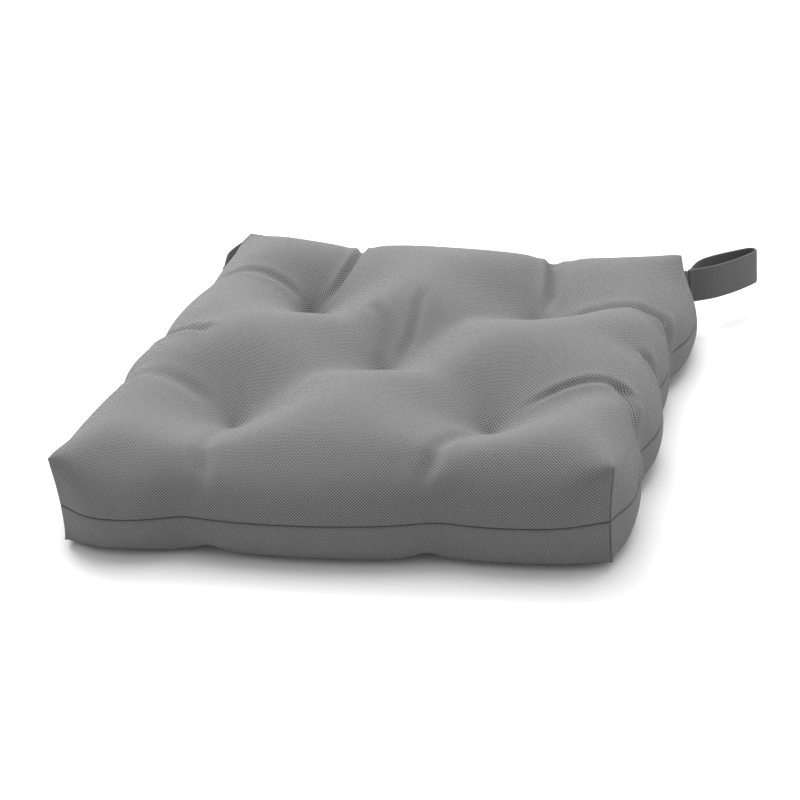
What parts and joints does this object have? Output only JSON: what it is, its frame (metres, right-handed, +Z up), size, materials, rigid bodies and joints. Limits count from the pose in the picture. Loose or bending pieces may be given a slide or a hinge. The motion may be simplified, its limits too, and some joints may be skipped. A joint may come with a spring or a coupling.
{
  "type": "chair seat pad",
  "caption": "Square tufted chair seat pad with boxed corners, a seam round its walls, a fibre filling and upright webbing loops at the back corners.",
  "frame": {"origin": "middle of the resting face, on the surface that the pad lies on", "axes": "+Z up through the pad's thickness, +Y towards the chair's back and the loops, +X to the pad's right as seen by someone facing the pad's front edge"},
  "size_m": [0.4816, 0.4953, 0.084],
  "materials": {
    "cover": "plain weave of thick grey yarn, matt",
    "filling": "loose white polyester fibre",
    "thread": "grey spun polyester sewing thread",
    "twine": "grey waxed twine, doubled",
    "webbing": "dark grey woven webbing, smooth and matt"
  },
  "bodies": {
    "pad": {"upper_panel": "cover", "lower_panel": "cover", "fibre_filling": "filling", "front_seam": "thread", "right_seam": "thread", "left_seam": "thread", "back_seam_right_end": "thread", "back_seam_left_end": "thread", "closing_stitch": "thread", "front_overlock": "thread", "right_overlock": "thread", "left_overlock": "thread", "back_overlock": "thread", "front_left_corner_seam": "thread", "front_right_corner_seam": "thread", "back_left_corner_seam": "thread", "back_right_corner_seam": "thread", "front_left_corner_overlock": "thread", "front_right_corner_overlock": "thread", "back_left_corner_overlock": "thread", "back_right_corner_overlock": "thread", "centre_tuft": "twine", "front_left_tuft": "twine", "front_right_tuft": "twine", "back_left_tuft": "twine", "back_right_tuft": "twine", "left_loop_tail": "webbing", "right_loop_tail": "webbing", "left_loop_bar_tack": "thread", "right_loop_bar_tack": "thread"},
    "left_loop": {"left_loop": "webbing"},
    "right_loop": {"right_loop": "webbing"}
  },
  "joints": [
    {"name": "left_loop_swing", "type": "hinge", "parent": "pad", "child": "left_loop", "pos_m": [-0.2117, 0.2117, 0.037], "axis": [0, 0, 1], "range_deg": [-20, 130], "stiffness_Nm_per_rad": 0.0005},
    {"name": "right_loop_swing", "type": "hinge", "parent": "pad", "child": "right_loop", "pos_m": [0.2117, 0.2117, 0.037], "axis": [0, 0, 1], "range_deg": [-75, 75], "stiffness_Nm_per_rad": 0.0005}
  ]
}
